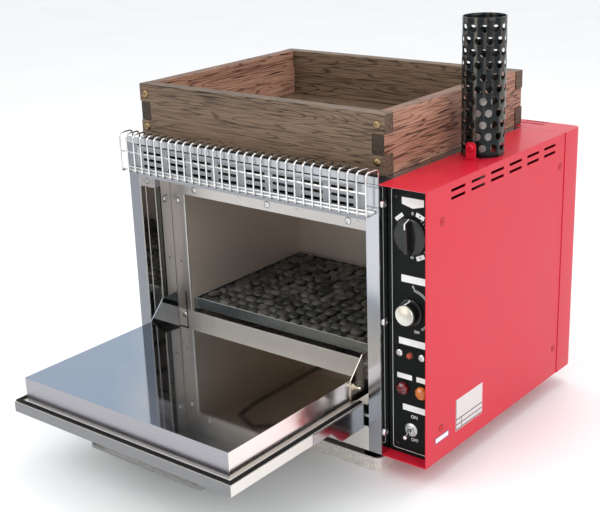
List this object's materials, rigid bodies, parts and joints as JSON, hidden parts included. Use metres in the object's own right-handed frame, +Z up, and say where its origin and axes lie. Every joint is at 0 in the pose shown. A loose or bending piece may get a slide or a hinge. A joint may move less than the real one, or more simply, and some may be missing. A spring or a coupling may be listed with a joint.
{
  "type": "sweet potato roaster",
  "caption": "Countertop electric roasting oven with a drop-down door, stone bed, side control housing, perforated chimney guard, front wire guard and wooden warming box on top.",
  "frame": {"origin": "centre of the plinth's underside, on the surface the roaster stands on", "axes": "+X towards the control housing, +Y from the door to the back, +Z up"},
  "size_m": [0.5525, 0.7365, 0.6276],
  "materials": {
    "polished_steel": "mirror-polished stainless steel sheet",
    "satin_steel": "satin stainless steel",
    "liner_steel": "dull coated steel",
    "galvanised": "galvanised steel",
    "heater_sheath": "heat-stained metal sheath",
    "bright_metal": "bright plated",
    "dark_chrome": "glossy dark plating",
    "red_paint": "glossy red paint",
    "black_panel": "semi-gloss black paint",
    "black_plastic": "black moulded plastic",
    "pale_plastic": "cream moulded plastic",
    "red_button": "dull red plastic",
    "red_lens": "clear red faceted lens",
    "amber_lens": "clear amber faceted lens",
    "rubber": "matte black rubber",
    "insulation": "compressed mineral wool",
    "stained_wood": "dark stained open-grain wood",
    "stones": "smooth dark river stones"
  },
  "bodies": {
    "cabinet": {"base_plinth": "satin_steel", "front_left_spacer": "rubber", "front_right_spacer": "rubber", "rear_left_spacer": "rubber", "rear_right_spacer": "rubber", "cabinet_shell": "polished_steel", "left_post": "polished_steel", "right_post": "polished_steel", "front_sill": "polished_steel", "vent_panel": "polished_steel", "top_deck": "polished_steel", "mouth_flange": "polished_steel", "chamber_liner": "liner_steel", "left_tray_rail": "galvanised", "right_tray_rail": "galvanised", "lower_heater": "heater_sheath", "upper_heater": "heater_sheath", "insulation_jacket": "insulation", "left_chamber_support": "galvanised", "right_chamber_support": "galvanised", "inner_back_panel": "galvanised", "side_cover": "red_paint", "rear_cover": "red_paint", "cable_gland": "black_plastic", "control_panel": "black_panel", "timer_body": "black_plastic", "thermostat_body": "pale_plastic", "thermostat_probe": "heater_sheath", "reset_switch": "black_plastic", "red_lamp": "red_lens", "amber_lamp": "amber_lens", "toggle_body": "galvanised", "toggle_nut": "bright_metal", "terminal_block": "pale_plastic", "flue_pipe": "satin_steel", "chimney_guard": "dark_chrome", "chimney_bracket": "red_paint", "left_pivot_bolt": "bright_metal", "right_pivot_bolt": "bright_metal"},
    "door": {"door_outer_panel": "satin_steel", "door_inner_box": "polished_steel", "door_filling": "insulation", "door_gasket": "rubber", "door_handle": "polished_steel", "left_cheek": "polished_steel", "right_cheek": "polished_steel", "left_hinge_arm": "polished_steel", "right_hinge_arm": "polished_steel"},
    "tray": {"stone_tray": "satin_steel", "stone_bed": "stones"},
    "guard": {"wire_guard": "bright_metal"},
    "warming_box": {"front_board": "stained_wood", "back_board": "stained_wood", "left_board": "stained_wood", "right_board": "stained_wood", "box_floor": "stained_wood"},
    "timer_dial": {"timer_knob": "black_plastic"},
    "thermostat_dial": {"thermostat_knob": "black_plastic"},
    "button": {"reset_button": "red_button"},
    "lever": {"toggle_lever": "bright_metal"}
  },
  "joints": [
    {"name": "door_hinge", "type": "hinge", "parent": "cabinet", "child": "door", "pos_m": [0, -0.2155, 0.085], "axis": [-1, 0, 0], "range_deg": [0, 90]},
    {"name": "tray_slide", "type": "slide", "parent": "cabinet", "child": "tray", "axis": [0, 1, 0], "range_m": [-0.25, 0]},
    {"name": "guard_lift", "type": "slide", "parent": "cabinet", "child": "guard", "axis": [0, 0, 1], "range_m": [0, 0.06]},
    {"name": "warming_box_lift", "type": "slide", "parent": "cabinet", "child": "warming_box", "axis": [0, 0, 1], "range_m": [0, 0.12]},
    {"name": "timer_turn", "type": "hinge", "parent": "cabinet", "child": "timer_dial", "pos_m": [0.27625, -0.201, 0.361], "axis": [0, 1, 0], "range_deg": [0, 300]},
    {"name": "thermostat_turn", "type": "hinge", "parent": "cabinet", "child": "thermostat_dial", "pos_m": [0.27625, -0.201, 0.253], "axis": [0, 1, 0], "range_deg": [0, 280]},
    {"name": "reset_push", "type": "slide", "parent": "cabinet", "child": "button", "axis": [0, 1, 0], "range_m": [0, 0.0025], "stiffness_N_per_m": 300},
    {"name": "toggle_flip", "type": "hinge", "parent": "cabinet", "child": "lever", "pos_m": [0.27625, -0.2025, 0.075], "axis": [-1, 0, 0], "range_deg": [0, 43.6]}
  ]
}
